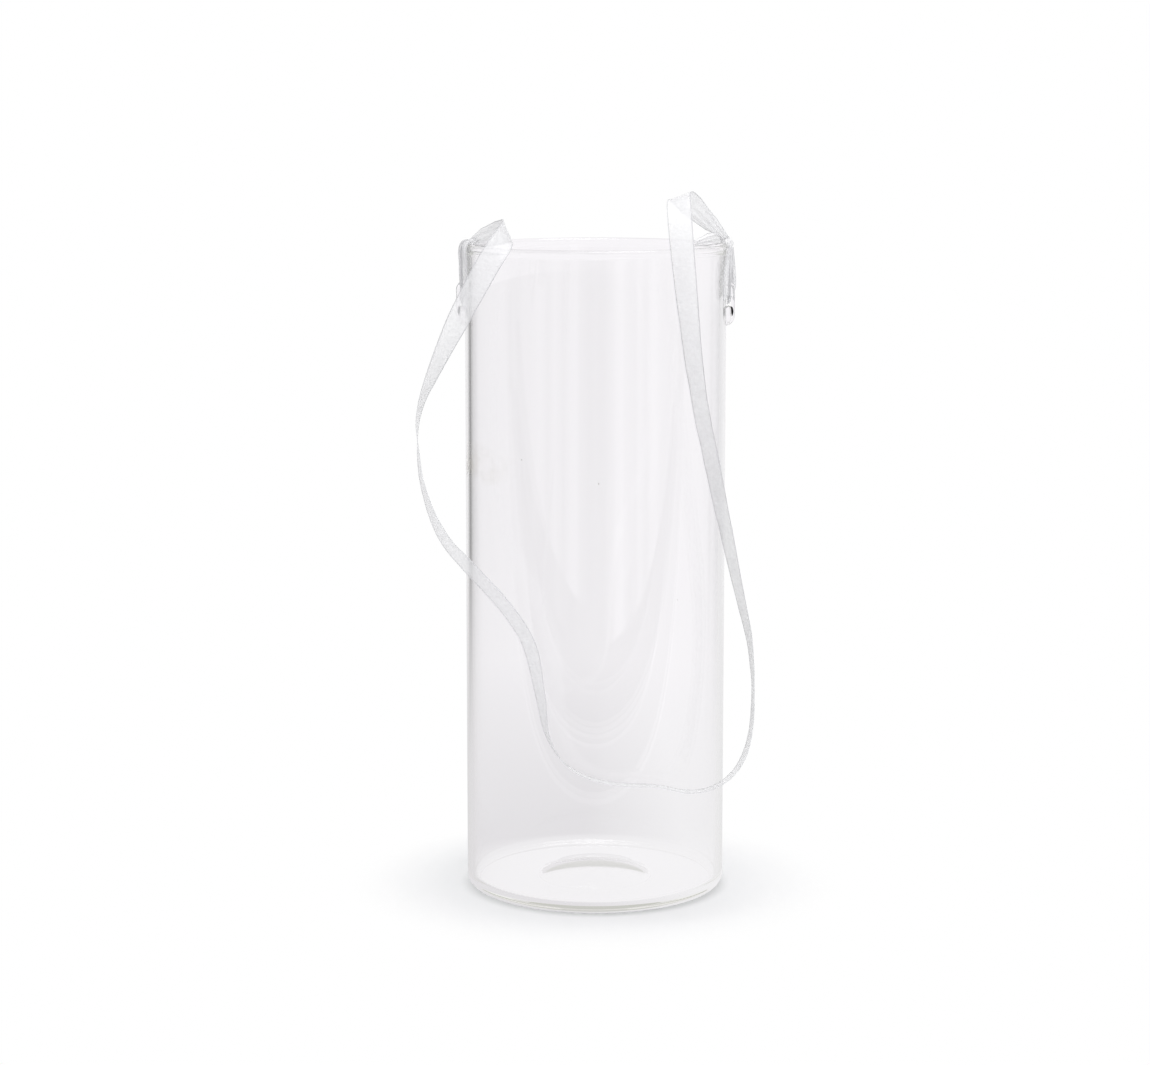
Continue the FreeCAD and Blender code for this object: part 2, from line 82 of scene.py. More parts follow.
# place in mm, the way its width lies, and the share of the full width that shows
hangingRoute = [
    ((-46.4, -8.6, 251.4), (-0.20, 0, 1), 0.42),
    ((-42.4, -13.4, 252.9), (-0.20, 0, 1), 0.80),
    ((-36.0, -20.3, 255.2), (-0.30, 0, 1), 1),
    ((-32.2, -29.6, 256.6), (-0.40, 0, 1), 1),
    ((-32.8, -39.0, 255.0), (-0.55, -0.10, 0.90), 1),
    ((-37.3, -44.6, 248.4), (-0.80, -0.05, 0.60), 1),
    ((-43.3, -39.4, 238.0), (-0.84, -0.20, 0.50), 1),
    ((-50.8, -32.0, 224.0), (-0.74, -0.45, 0.45), 1),
    ((-59.0, -26.5, 207.0), (-0.50, -0.80, 0.28), 1),
    ((-67.2, -24.5, 188.5), (-0.17, -0.98, 0.05), 1),
    ((-67.0, -25.5, 172.0), (0.16, -0.99, 0), 1),
    ((-64.5, -28.8, 157.5), (0.28, -0.96, 0.08), 1),
    ((-57.5, -36.0, 141.5), (0.40, -0.87, 0.30), 1),
    ((-44.5, -46.0, 129.8), (0.41, -0.80, 0.44), 1),
    ((-31.5, -53.0, 117.2), (0.45, -0.78, 0.44), 1),
    ((-23.3, -56.0, 104.0), (0.55, -0.78, 0.25), 1),
    ((-20.2, -56.5, 85.0), (0.42, -0.90, 0.06), 1),
    ((-17.8, -56.6, 69.5), (0.20, -0.98, 0.12), 1),
    ((-10.8, -56.4, 58.6), (0.06, -1.00, 0.12), 1),
    ((0.5, -56.0, 53.4), (0, -1.00, 0.10), 1),
    ((12.5, -55.8, 51.6), (0, -1.00, 0.10), 1),
    ((24.5, -54.5, 51.4), (0, -1.00, 0.10), 1),
    ((36.0, -50.2, 47.4), (0, -1.00, 0.11), 1),
    ((48.0, -42.0, 48.8), (0, -1.00, 0.10), 1),
    ((56.3, -34.5, 56.0), (0.05, -1.00, 0.05), 1),
    ((60.0, -28.0, 69.0), (0.06, -1.00, 0), 1),
    ((60.3, -24.0, 85.0), (0.06, -1.00, 0), 1),
    ((59.2, -23.2, 99.5), (0.20, -0.98, 0), 1),
    ((55.0, -26.0, 117.5), (0.36, -0.93, 0.06), 1),
    ((49.5, -32.5, 142.0), (0.48, -0.87, 0.10), 1),
    ((44.0, -38.0, 168.0), (0.60, -0.79, 0.10), 1),
    ((37.5, -42.0, 198.0), (0.63, -0.77, 0.12), 1),
    ((33.8, -44.0, 230.0), (0.83, -0.50, 0.08), 1),
    ((31.9, -44.2, 248.0), (0.93, -0.30, 0.10), 1),
    ((30.8, -43.3, 261.0), (0.95, -0.05, 0.22), 1),
    ((30.4, -37.6, 268.2), (0.94, 0, 0.33), 1),
    ((31.2, -28.3, 269.8), (0.94, 0, 0.33), 1),
    ((35.5, -21.0, 265.6), (0.80, 0, 0.55), 1),
    ((42.7, -12.4, 258.6), (0.70, 0, 0.66), 0.68),
    ((49.9, -3.0, 252.2), (0.95, 0, 0.25), 0.22),
]


# the lip's radius and height in mm, which the ribbon and the glass share
lip = {"radius": 50, "height": 250}


# a place beside the lip: mm out from the wall, degrees forward of the ear, mm above the lip
def besideLip(side, out, forward, up):
    angle = math.radians(forward)
    reach = lip["radius"] + out
    return (side * reach * math.cos(angle), -reach * math.sin(angle), lip["height"] + up)


def layRoute(name, route, steps):
    data = bpy.data.curves.new(name + "Route", "CURVE")
    data.dimensions = "3D"
    spline = data.splines.new("NURBS")
    spline.points.add(len(route) - 1)
    for point, (place, lies, share) in zip(spline.points, route):
        point.co = (place[0] * mm, place[1] * mm, place[2] * mm, 1)
    spline.order_u = 3
    spline.use_endpoint_u = True
    spline.resolution_u = steps
    line = bpy.data.objects.new(name + "Route", data)
    scene.collection.objects.link(line)
    bpy.context.view_layer.update()
    run = bpy.data.meshes.new_from_object(line)
    points = [vertex.co.copy() for vertex in run.vertices]
    bpy.data.objects.remove(line)
    bpy.data.curves.remove(data)
    bpy.data.meshes.remove(run)
    return points


# how the width lies and how much of it shows, between the route's points: a NURBS line of order 3
# passes half way between two inner points where one span meets the next
def clothAt(route, share):
    spans = len(route) - 2
    marks = [0] + [index + 0.5 for index in range(spans)] + [spans]
    at = share * spans
    for index in range(len(marks) - 1):
        if at <= marks[index + 1]:
            break
    part = (at - marks[index]) / (marks[index + 1] - marks[index])
    lies = Vector(route[index][1]).normalized().lerp(Vector(route[index + 1][1]).normalized(), part)
    return lies, route[index][2] + (route[index + 1][2] - route[index][2]) * part


def makeBand(name, route, steps, seed):
    width, pleats, columns = ribbon["width"], ribbon["pleats"], ribbon["columns"]
    points = layRoute(name, route, steps)
    mesh = bpy.data.meshes.new(name)
    shape = bmesh.new()
    weave = shape.loops.layers.uv.new("ribbonWeave")
    rings = []
    travelled = []
    along = 0.0
    for index, point in enumerate(points):
        before = points[max(index - 1, 0)]
        after = points[min(index + 1, len(points) - 1)]
        way = (after - before).normalized()
        if index:
            along += (point - points[index - 1]).length
        travelled.append(along)
        lies, share = clothAt(route, index / (len(points) - 1))
        across = (lies - way * lies.dot(way)).normalized()
        out = way.cross(across).normalized()
        shown = width * share * mm
        fold = (width * mm / (math.pi * pleats)) * math.sqrt(max(1 / share - 1, 0)) * share
        wander = ribbon["pleatWander"] * noise.noise(Vector((along * ribbon["wanders"], seed, 3)))
        ring = []
        for layer in (1, -1):
            for column in range(columns + 1):
                place = (column / columns - 0.5) * layer
                edge = abs(place) * 2
                ripple = noise.noise(Vector((along * ribbon["waves"], place * 2, seed)))
                wave = ribbon["edgeWave"] * mm * edge**3 * ripple
                lift = fold * math.sin(place * pleats * math.tau + seed + wander) + wave * 2
                thick = ribbon["cloth"] * mm / 2 * layer
                ring.append(shape.verts.new(point + across * (place * shown) + out * (lift + thick)))
        rings.append(ring)
    count = 2 * (columns + 1)
    for index in range(len(rings) - 1):
        for column in range(count):
            beside = (column + 1) % count
            ring, onward = rings[index], rings[index + 1]
            face = shape.faces.new((ring[column], onward[column], onward[beside], ring[beside]))
            rim = column in (columns, count - 1)
            face.smooth = not rim
            if rim:
                for edge in face.edges:
                    edge.smooth = False
            for loop, ringIndex, columnIndex in zip(
                face.loops, (index, index + 1, index + 1, index), (column, column, beside, beside)
            ):
                layerColumn = columnIndex if columnIndex <= columns else 2 * columns + 1 - columnIndex
                loop[weave].uv = (layerColumn / columns, travelled[ringIndex] / (width * mm))
    for ring in (rings[0], list(reversed(rings[-1]))):
        for column in range(columns):
            other = count - 1 - column
            if column + 1 <= other - 1:
                face = shape.faces.new((ring[column], ring[column + 1], ring[other - 1], ring[other]))
                face.smooth = False
    bmesh.ops.recalc_face_normals(shape, faces=shape.faces)
    shape.to_mesh(mesh)
    shape.free()
    band = bpy.data.objects.new(name, mesh)
    scene.collection.objects.link(band)
    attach(band, "root")
    return band, points


hangingRibbon, hangingLine = makeBand("hangingRibbon", hangingRoute, 16, seed=1.3)
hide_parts("hanging_ribbon")
print("hanging ribbon laid")


# the gathered ribbon round each ear, and the cut ends
rightLoopRoute = [
    ((1.6, 3.3, -1.6), (0, 1, 0)),
    ((1.7, 7.1, -9.5), (0.2, 1, 0)),
    ((0.9, 2.5, -21.8), (0, 0.5, 1)),
    ((0.9, -2.5, -21.8), (0, -0.5, 1)),
    ((3.0, -3.5, -18.0), (0.4, -0.9, 0.3)),
    ((2.7, -3.7, -10.0), (0.5, -0.9, 0)),
    ((1.8, 0.5, -1.9), (0.3, -1, 0)),
]
leftLoopRoute = [
    ((-2.4, 9.2, 1.3), (0.5, 0.9, 0)),
    ((1.5, 5.5, 1.0), (0.5, 0.9, 0)),
    ((1.7, 4.9, -10.0), (-0.2, 1, 0)),
    ((0.9, 2.5, -21.8), (0, 0.5, 1)),
    ((0.9, -2.5, -21.8), (0, -0.5, 1)),
    ((1.7, -4.3, -10.0), (-0.2, -1, 0)),
    ((1.7, -1.0, 1.4), (-0.9, -0.5, 0)),
    ((-1.6, 6.0, 1.5), (-0.9, -0.5, 0)),
]
rightTailRoute = [
    ((1.0, 4.4, -1.2), 0.28),
    ((0.9, 11.5, -7.0), 0.8),
    ((0.9, 15.6, -12.5), 1),
    ((0.9, 13.6, -19.7), 0.9),
]
leftTailRoute = [
    ((-1.7, 11.5, 1.4), 0.25),
    ((1.4, 13.2, 1.0), 0.6),
    ((0.95, 14.5, -9.0), 1),
    ((0.9, 14.5, -17.0), 1),
    ((0.9, 14.0, -24.5), 1),
]
lipTailRoute = [
    ((-1.8, 3.8, 1.1), 0.15),
    ((-2.5, 14.0, 2.9), 0.52),
    ((-2.5, 25.0, 2.9), 0.52),
    ((-2.5, 39.0, 1.6), 0.24),
]


# the way forward round the lip, at degrees forward of the ear
def aheadOf(side, forward):
    angle = math.radians(forward)
    return (-side * math.sin(angle), -math.cos(angle), 0)


# in the tables of the loops, directions are outward, forward and up
def loopRoute(side, table):
    return [
        (besideLip(side, *place), (side * lies[0], -lies[1], lies[2]), ribbon["gathered"])
        for place, lies in table
    ]


def wallRoute(side, table):
    return [(besideLip(side, *place), aheadOf(side, place[1]), share) for place, share in table]


def lipRoute(side, table):
    return [(besideLip(side, *place), (0, 0, 1), share) for place, share in table]


smallBands = {}
for name, route, steps, node in (
    ("rightEarLoop", loopRoute(1, rightLoopRoute), 16, "right_ear_loop"),
    ("leftEarLoop", loopRoute(-1, leftLoopRoute), 16, "left_ear_loop"),
    ("rightTail", wallRoute(1, rightTailRoute), 14, "right_tail"),
    ("leftTail", wallRoute(-1, leftTailRoute), 12, "left_tail"),
    ("rightLipTail", lipRoute(1, lipTailRoute), 14, "right_lip_tail"),
):
    smallBands[name] = makeBand(name, route, steps, seed=len(smallBands) + 0.7)[0]
    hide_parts(node)
print("ear loops and cut ends laid")


# knots: a lump of gathered ribbon with its turns pressed into it, lifted where it sits on the lip,
# though some of its faces still cut up to 1.1 mm into the lip. The turns wander with a swirl, and
# one turn is wrapped across them and presses them flat
knots = {
    "segments": 96,
    "rings": 64,
    "size": (2.5, 3.2, 3.1),
    "turns": 5,
    "slant": 3,
    "groove": 0.16,
    "swirls": 2.1,
    "swirl": 2.4,
    "dents": 0.10,
    "wrap": 0.25,
    "wrapWidth": 0.05,
    "wrapPress": 0.6,
    "lipOut": 50.65,
    "lipTop": 250.4,
    "weave": (3, 2),
}


def makeKnot(name, place, node, lean):
    bpy.ops.object.select_all(action="DESELECT")
    bpy.ops.mesh.primitive_uv_sphere_add(
        segments=knots["segments"], ring_count=knots["rings"], radius=1
    )
    knot = bpy.context.object
    knot.name = name
    lump = knot.data
    weave = lump.uv_layers[0]
    weave.name = "ribbonWeave"
    for vertex in lump.vertices:
        way = vertex.co.copy()
        turn = math.atan2(way.z, way.x) + lean * way.y
        swirl = noise.noise(way * knots["swirls"] + Vector((lean, 0, 4)))
        ridge = math.cos(turn * knots["turns"] + knots["swirl"] * swirl + knots["slant"] * way.y)
        cross = math.exp(-((way.y - knots["wrap"] * math.sin(turn)) ** 2) / knots["wrapWidth"])
        pressed = knots["groove"] * (0.5 - 0.5 * ridge) * (1 - knots["wrapPress"] * cross)
        grow = 1 - pressed - knots["dents"] * (1 - cross) * abs(swirl)
        spot = Vector([place[axis] + way[axis] * grow * knots["size"][axis] for axis in range(3)])
        reach = math.hypot(spot.x, spot.y)
        if reach < knots["lipOut"] and spot.z < knots["lipTop"]:
            if knots["lipOut"] - reach < knots["lipTop"] - spot.z:
                spot.x *= knots["lipOut"] / reach
                spot.y *= knots["lipOut"] / reach
            else:
                spot.z = knots["lipTop"]
        vertex.co = spot * mm
    widths, lengths = knots["weave"]
    for loop in lump.loops:
        uv = weave.data[loop.index].uv
        weave.data[loop.index].uv = (uv.x * widths % 1, uv.y * lengths)
    bpy.ops.object.shade_smooth()
    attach(knot, "root")
    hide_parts(node)
    return knot


rightKnot = makeKnot("rightKnot", (50, -2, 250), "right_knot", 0.5)
leftKnot = makeKnot("leftKnot", (-46.2, -8.5, 250), "left_knot", -0.7)
print("knots tied")


# glass: the wall's profile is drawn once in mm and spun round the axis
glass = {
    "steps": 192,
    "radius": lip["radius"],
    "height": lip["height"],
    "wall": 2.3,
    "floor": 3,
    "heel": 4.5,
    "heelSteps": 12,
    "innerHeel": 3.5,
    "innerHeelSteps": 10,
    "bead": 1.4,
    "beadArc": (-32, 212, 18),
    "neck": 1.0,
    "halfway": 120,
    "puntRadius": 21.7,
    "puntRise": 3.2,
    "puntSwell": 0.35,
    "puntEdge": 1.6,
    "domeSteps": 12,
    "domeRadius": 24.5,
    "domeRise": 2.6,
    "weld": 0.000005,
}


def arcPoints(centre, radius, start, end, count):
    return [
        (
            centre[0] + radius * math.cos(math.radians(start + (end - start) * index / count)),
            centre[1] + radius * math.sin(math.radians(start + (end - start) * index / count)),
        )
        for index in range(count + 1)
    ]


def glassProfile():
    radius, height, wall, floor = glass["radius"], glass["height"], glass["wall"], glass["floor"]
    heel, innerHeel, bead = glass["heel"], glass["innerHeel"], glass["bead"]
    punt, dome, steps = glass["puntRadius"], glass["domeRadius"], glass["domeSteps"]
    inner = radius - wall
    neck = height - 2 * bead - glass["neck"]
    line = [(0, glass["puntRise"])]
    for index in range(1, steps + 1):
        share = index / steps
        swell = glass["puntSwell"] * share**4 * (1 - share)
        line.append((punt * share, glass["puntRise"] * (1 - share**2) + swell))
    line.append((punt + glass["puntEdge"], 0))
    line += arcPoints((radius - heel, heel), heel, -90, 0, glass["heelSteps"])
    line += [(radius, glass["halfway"]), (radius, neck)]
    line += arcPoints((radius - wall / 2, height - bead), bead, *glass["beadArc"])
    line += [(inner, neck), (inner, glass["halfway"])]
    line += arcPoints((inner - innerHeel, floor + innerHeel), innerHeel, 0, -90, glass["innerHeelSteps"])
    for index in range(steps, 0, -1):
        share = index / steps
        line.append((dome * share, floor + glass["domeRise"] * (1 - share**2)))
    line.append((0, floor + glass["domeRise"]))
    return line


def extrudeTo(before, after):
    bpy.ops.mesh.extrude_region_move(
        TRANSFORM_OT_translate={"value": ((after[0] - before[0]) * mm, 0, (after[1] - before[1]) * mm)}
    )


def blowGlass():
    bpy.ops.object.select_all(action="DESELECT")
    bpy.ops.mesh.primitive_plane_add(size=0.001)
    body = bpy.context.object
    body.name = "glassBody"
    bpy.ops.object.mode_set(mode="EDIT")
    bpy.ops.mesh.select_all(action="SELECT")
    bpy.ops.mesh.merge(type="CENTER")
    line = glassProfile()
    bpy.ops.transform.translate(value=(line[0][0] * mm, 0, line[0][1] * mm))
    for before, after in zip(line, line[1:]):
        extrudeTo(before, after)
    bpy.ops.mesh.select_all(action="SELECT")
    bpy.ops.mesh.spin(
        steps=glass["steps"], angle=math.tau, center=(0, 0, 0), axis=(0, 0, 1), use_auto_merge=True
    )
    bpy.ops.mesh.select_all(action="SELECT")
    bpy.ops.mesh.remove_doubles(threshold=glass["weld"])
    bpy.ops.mesh.normals_make_consistent(inside=False)
    bpy.ops.object.mode_set(mode="OBJECT")
    bpy.ops.object.shade_smooth()
    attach(body, "root")
    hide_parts("glass_body")
    return body


glassBody = blowGlass()
print("glass blown", len(glassBody.data.polygons))


# ears: a bent rod with melted feet, run together as hot glass does. Each melt is mm out from the
# wall, height, radius and stretch: the web in the eye, then the lower and the upper foot
ears = {
    "rod": 0.75,
    "sides": 32,
    "bendSteps": 16,
    "reach": 3.3,
    "high": 235.25,
    "low": 219.75,
    "sink": 0.35,
    "grain": 0.16,
    "flow": 0.5,
    "flowTurns": 6,
    "meltSides": (48, 32),
    "melts": (
        (0.85, 222.9, 1.35, (1.1, 1, 2.7)),
        (0.2, 219.9, 1.2, (0.9, 1.1, 0.9)),
        (0.1, 235.2, 1.35, (0.9, 1.1, 1)),
    ),
}


def addBlob(place, radius, scale):
    segments, rings = ears["meltSides"]
    bpy.ops.mesh.primitive_uv_sphere_add(segments=segments, ring_count=rings, radius=1)
    blob = bpy.context.object
    for vertex in blob.data.vertices:
        vertex.co = Vector(
            [(place[axis] + vertex.co[axis] * radius * scale[axis]) * mm for axis in range(3)]
        )
    return blob


def bendEar(name, side, node):
    bpy.ops.object.select_all(action="DESELECT")
    bend = ears["reach"] - ears["rod"]
    wallLine = glass["radius"]
    turns = ears["bendSteps"]
    line = [(wallLine - ears["sink"], ears["low"])]
    line += arcPoints((wallLine, ears["low"] + bend), bend, -90, 0, turns)
    line += arcPoints((wallLine, ears["high"] - bend), bend, 0, 90, turns)
    line.append((wallLine - ears["sink"], ears["high"]))
    bpy.ops.mesh.primitive_circle_add(vertices=ears["sides"], radius=ears["rod"] * mm, fill_type="NGON")
    rod = bpy.context.object
    bpy.ops.object.mode_set(mode="EDIT")
    bpy.ops.mesh.select_all(action="SELECT")
    bpy.ops.transform.rotate(value=-math.pi / 2, orient_axis="Y", center_override=(0, 0, 0))
    bpy.ops.transform.translate(value=(line[0][0] * mm, 0, line[0][1] * mm))
    heading = 0.0
    for index, (before, after) in enumerate(zip(line, line[1:])):
        extrudeTo(before, after)
        onward = line[min(index + 2, len(line) - 1)]
        wanted = math.atan2(onward[1] - before[1], onward[0] - before[0])
        bpy.ops.transform.rotate(
            value=wanted - heading, orient_axis="Y", center_override=(after[0] * mm, 0, after[1] * mm)
        )
        heading = wanted
    bpy.ops.mesh.select_all(action="SELECT")
    bpy.ops.mesh.normals_make_consistent(inside=False)
    bpy.ops.object.mode_set(mode="OBJECT")
    parts = [rod]
    for out, height, radius, stretch in ears["melts"]:
        parts.append(addBlob((wallLine + out, 0, height), radius, stretch))
    bpy.ops.object.select_all(action="DESELECT")
    for part in parts:
        part.select_set(True)
    bpy.context.view_layer.objects.active = rod
    bpy.ops.object.join()
    ear = bpy.context.object
    ear.name = name
    melt = ear.modifiers.new("melt", "REMESH")
    melt.mode = "VOXEL"
    melt.voxel_size = ears["grain"] * mm
    bpy.ops.object.modifier_apply(modifier="melt")
    flow = ear.modifiers.new("flow", "SMOOTH")
    flow.factor = ears["flow"]
    flow.iterations = ears["flowTurns"]
    bpy.ops.object.modifier_apply(modifier="flow")
    nearest = (wallLine - ears["sink"]) * mm
    for vertex in ear.data.vertices:
        reach = math.hypot(vertex.co.x, vertex.co.y)
        if reach < nearest:
            vertex.co.x *= nearest / reach
            vertex.co.y *= nearest / reach
        if side < 0:
            vertex.co.x = -vertex.co.x
            vertex.co.y = -vertex.co.y
    bpy.ops.object.shade_smooth()
    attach(ear, "root")
    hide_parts(node)
    return ear


rightEar = bendEar("rightEar", 1, "right_ear")
leftEar = bendEar("leftEar", -1, "left_ear")
print("ears bent", len(rightEar.data.polygons))


# materials


def srgb(code):
    parts = [int(code[index : index + 2], 16) / 255 for index in (1, 3, 5)]
    return [part / 12.92 if part <= 0.04045 else ((part + 0.055) / 1.055) ** 2.4 for part in parts] + [1]


def addNode(tree, kind, settings=None, sockets=None):
    node = tree.nodes.new(kind)
    for key, value in (settings or {}).items():
        setattr(node, key, value)
    for key, value in (sockets or {}).items():
        if isinstance(value, bpy.types.NodeSocket):
            tree.links.new(value, node.inputs[key])
        else:
            node.inputs[key].default_value = value
    return node


def newFinish(name):
    finish = bpy.data.materials.new(name)
    finish.use_nodes = True
    finish.node_tree.nodes.clear()
    return finish, finish.node_tree


# how far a place is from a spot's centre, as a share of the spot's half sizes
def shareAway(tree, place, spot):
    offset = addNode(
        tree, "ShaderNodeVectorMath", {"operation": "SUBTRACT"}, {0: place, 1: spot["centre"]}
    ).outputs[0]
    shares = addNode(tree, "ShaderNodeVectorMath", {"operation": "DIVIDE"}, {0: offset, 1: spot["size"]})
    return addNode(tree, "ShaderNodeVectorMath", {"operation": "LENGTH"}, {0: shares.outputs[0]}).outputs[1]


# clear soda glass, fire-polished: colourless and sharp, with a pale yellow-green cast where it is thick
clearGlass = {
    "index": 1.47,
    "cast": "#eff0e6",
    "castDensity": 9.0,
    "shadow": "#f7f8f8",
    "dust": "#bcbab6",
}
# blown to a thin wall, which shows as fine lines at its edges. A speck of dust may lie in each cell
# of 31 mm, and a faint yellowish wipe mark has wisps about 9 mm across
blownLook = {
    "specks": {"cells": 32.0, "size": 0.0095},
    "turns": 2.5,
    # painted light: the fixed dim emission shown for light run to and fro inside the blown wall
    "paintedGlow": "#cececb",
    "smear": {
        "centre": (-0.046, -0.019, 0.168),
        "size": (0.027, 0.027, 0.0085),
        "colour": "#ddd7c8",
        "wisps": {"Scale": 110.0, "Detail": 4.0, "Roughness": 0.6},
        "worn": {"From Min": 0.38, "From Max": 0.70, "To Max": 0.30},
    },
}
# drawn to a rod and bent in the flame, which bends the room into bright lines. The near-black mark that the
# photograph shows in the right ear is painted shade here, a dark spot painted in both ears
rodLook = {
    "turns": 1.5,
    # painted light: the fixed darker emission shown for light run to and fro inside the rod
    "paintedGlow": "#595a58",
    # painted shade: a near-black spot inside the rod, where the clear glass only looks dark
    "paintedShadeCore": {
        "centre": (0.05222, 0, 0.2243),
        "size": (0.00060, 0.0011, 0.0022),
        "colour": "#1d1d1d",
    },
}


def makeClearGlass(name, look):
    finish, tree = newFinish(name)
    place = addNode(tree, "ShaderNodeTexCoord").outputs["Object"]
    light = addNode(tree, "ShaderNodeLightPath")
    surface = addNode(
        tree,
        "ShaderNodeBsdfPrincipled",
        sockets={
            "Base Color": (1, 1, 1, 1),
            "Roughness": 0.0,
            "IOR": clearGlass["index"],
            "Transmission Weight": 1.0,
        },
    )
    marks = []
    if "specks" in look:
        specks = look["specks"]
        spots = addNode(tree, "ShaderNodeTexVoronoi", sockets={"Vector": place, "Scale": specks["cells"]})
        speck = addNode(
            tree,
            "ShaderNodeMath",
            {"operation": "LESS_THAN"},
            {0: spots.outputs["Distance"], 1: specks["size"]},
        )
        marks.append((speck, clearGlass["dust"]))
    if "smear" in look:
        smear = look["smear"]
        away = shareAway(tree, place, smear)
        fades = addNode(
            tree, "ShaderNodeMapRange", sockets={"Value": away, "From Max": 1.0, "To Min": 1.0, "To Max": 0.0}
        )
        wisps = addNode(tree, "ShaderNodeTexNoise", sockets={"Vector": place, **smear["wisps"]})
        worn = addNode(tree, "ShaderNodeMapRange", sockets={"Value": wisps.outputs["Fac"], **smear["worn"]})
        film = addNode(
            tree, "ShaderNodeMath", {"operation": "MULTIPLY"}, {0: fades.outputs[0], 1: worn.outputs[0]}
        )
        marks.append((film, smear["colour"]))
    if "paintedShadeCore" in look:
        # the same painted shade in both ears, so its place is read without its sign
        both = addNode(tree, "ShaderNodeVectorMath", {"operation": "ABSOLUTE"}, {0: place})
        away = shareAway(tree, both.outputs[0], look["paintedShadeCore"])
        inPaintedShade = addNode(tree, "ShaderNodeMath", {"operation": "LESS_THAN"}, {0: away, 1: 1.0})
        marks.append((inPaintedShade, look["paintedShadeCore"]["colour"]))
    for mask, colour in marks:
        matt = addNode(tree, "ShaderNodeBsdfDiffuse", sockets={"Color": srgb(colour)})
        surface = addNode(
            tree,
            "ShaderNodeMixShader",
            sockets={0: mask.outputs[0], 1: surface.outputs[0], 2: matt.outputs[0]},
        )
    # painted light: light that has run to and fro inside the glass comes out dim, drawn as a fixed emission
    # in its place
    trapped = addNode(
        tree,
        "ShaderNodeMath",
        {"operation": "GREATER_THAN"},
        {0: light.outputs["Glossy Depth"], 1: look["turns"]},
    )
    paintedGlow = addNode(tree, "ShaderNodeEmission", sockets={"Color": srgb(look["paintedGlow"])})
    inner = addNode(
        tree,
        "ShaderNodeMixShader",
        sockets={0: trapped.outputs[0], 1: surface.outputs[0], 2: paintedGlow.outputs[0]},
    )
    letThrough = addNode(tree, "ShaderNodeBsdfTransparent", sockets={"Color": srgb(clearGlass["shadow"])})
    seen = addNode(
        tree,
        "ShaderNodeMixShader",
        sockets={0: light.outputs["Is Shadow Ray"], 1: inner.outputs[0], 2: letThrough.outputs[0]},
    )
    depth = addNode(
        tree,
        "ShaderNodeVolumeAbsorption",
        sockets={"Color": srgb(clearGlass["cast"]), "Density": clearGlass["castDensity"]},
    )
    addNode(
        tree, "ShaderNodeOutputMaterial", sockets={"Surface": seen.outputs[0], "Volume": depth.outputs[0]}
    )
    return finish


# sheer organza, woven: see-through with a soft shine, closer and duller at the selvedge. Its threads are too
# fine to show. How much it covers rises and falls in soft patches, 1.9 to the ribbon's width or 4.7 mm each:
# painted light and shade for the lighter and darker places that wrinkles give it
organzaLook = {
    "thread": "#f7f7f8",
    "selvedge": "#d9d9db",
    "cover": 0.40,
    "uneven": (0.80, 1.22),
    "selvedgeCover": 0.66,
    "selvedgeWidth": 0.05,
    "paintedWrinkles": {"Scale": 1.9, "Detail": 6.0, "Roughness": 0.7},
    "cloudRange": {"From Min": 0.3, "From Max": 0.7},
    "shine": {"Roughness": 0.55, "Sheen Weight": 0.35, "Sheen Roughness": 0.4},
}


def makeOrganza():
    look = organzaLook
    finish, tree = newFinish("sheerOrganza")
    weave = addNode(tree, "ShaderNodeUVMap", {"uv_map": "ribbonWeave"})
    parts = addNode(tree, "ShaderNodeSeparateXYZ", sockets={0: weave.outputs[0]})
    fromMiddle = addNode(tree, "ShaderNodeMath", {"operation": "SUBTRACT"}, {0: parts.outputs[0], 1: 0.5})
    distance = addNode(tree, "ShaderNodeMath", {"operation": "ABSOLUTE"}, {0: fromMiddle.outputs[0]})
    selvedge = addNode(
        tree,
        "ShaderNodeMapRange",
        sockets={
            "Value": distance.outputs[0],
            "From Min": 0.5 - look["selvedgeWidth"],
            "From Max": 0.5 - look["selvedgeWidth"] * 0.5,
        },
    )
    # painted light and shade: the cover rises and falls in soft patches, for the wrinkles' light and dark
    paintedWrinkles = addNode(tree, "ShaderNodeTexNoise", sockets={"Vector": weave.outputs[0], **look["paintedWrinkles"]})
    thinnest, closest = look["uneven"]
    cover = addNode(
        tree,
        "ShaderNodeMapRange",
        sockets={
            "Value": paintedWrinkles.outputs["Fac"],
            **look["cloudRange"],
            "To Min": look["cover"] * thinnest,
            "To Max": look["cover"] * closest,
        },
    )
    thick = addNode(
        tree,
        "ShaderNodeMix",
        {"data_type": "FLOAT"},
        {0: selvedge.outputs[0], 2: cover.outputs[0], 3: look["selvedgeCover"]},
    )
    colour = addNode(
        tree,
        "ShaderNodeMix",
        {"data_type": "RGBA"},
        {0: selvedge.outputs[0], 6: srgb(look["thread"]), 7: srgb(look["selvedge"])},
    )
    cloth = addNode(
        tree,
        "ShaderNodeBsdfPrincipled",
        sockets={"Base Color": colour.outputs[2], "Alpha": thick.outputs[0], **look["shine"]},
    )
    addNode(tree, "ShaderNodeOutputMaterial", sockets={"Surface": cloth.outputs[0]})
    return finish


blownGlass = makeClearGlass("clearBlownGlass", blownLook)
rodGlass = makeClearGlass("clearGlassRod", rodLook)
organza = makeOrganza()
finishes = [(glassBody, blownGlass), (rightEar, rodGlass), (leftEar, rodGlass)]
finishes += [(piece, organza) for piece in [hangingRibbon, rightKnot, leftKnot] + list(smallBands.values())]
for piece, finish in finishes:
    piece.data.materials.clear()
    piece.data.materials.append(finish)
print("materials made")


